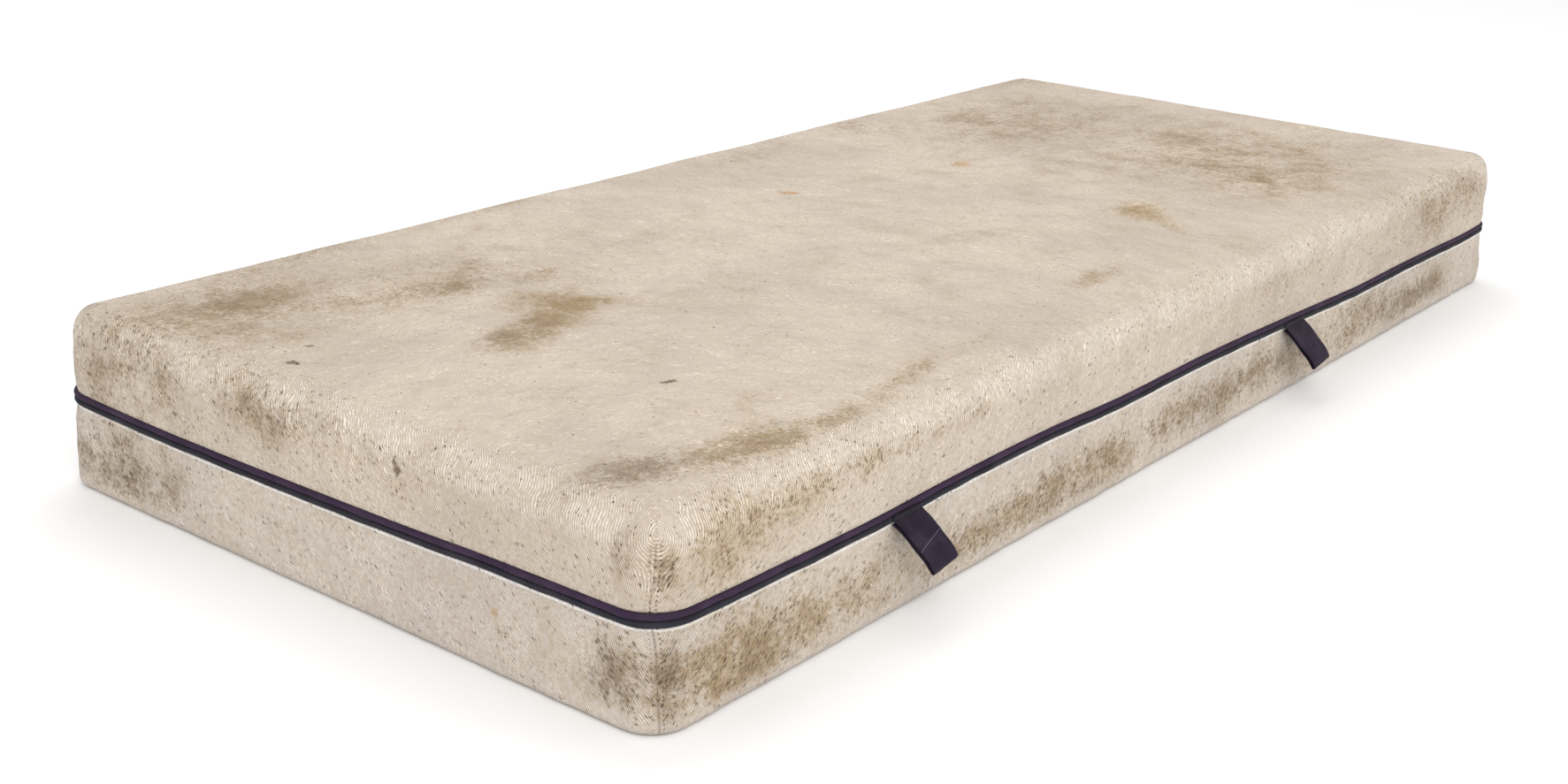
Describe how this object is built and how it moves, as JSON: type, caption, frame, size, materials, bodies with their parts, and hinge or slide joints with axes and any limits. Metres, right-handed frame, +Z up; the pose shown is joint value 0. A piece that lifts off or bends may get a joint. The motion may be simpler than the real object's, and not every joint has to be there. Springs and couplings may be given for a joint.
{
  "type": "mattress",
  "caption": "Worn single-bed mattress: a filled knit cover with a rounded top edge, a double tape sewn round its sides and webbing pull straps on one long side.",
  "frame": {"origin": "middle of the flat base, on the surface that the mattress lies on", "axes": "+X along the length, +Z up, -Y out of the long side that carries the pull straps"},
  "size_m": [1.997, 0.9601, 0.2137],
  "materials": {
    "cover": "stained cream knit, matt",
    "upper_tape": "rolled dark purple tape, matt",
    "lower_tape": "rolled slate tape, matt",
    "webbing": "dark purple ribbed webbing, matt"
  },
  "bodies": {
    "root": {"mattress": "cover", "binding_upper": "upper_tape", "binding_lower": "lower_tape", "pull_strap_left": "webbing", "pull_strap_right": "webbing"}
  },
  "joints": []
}
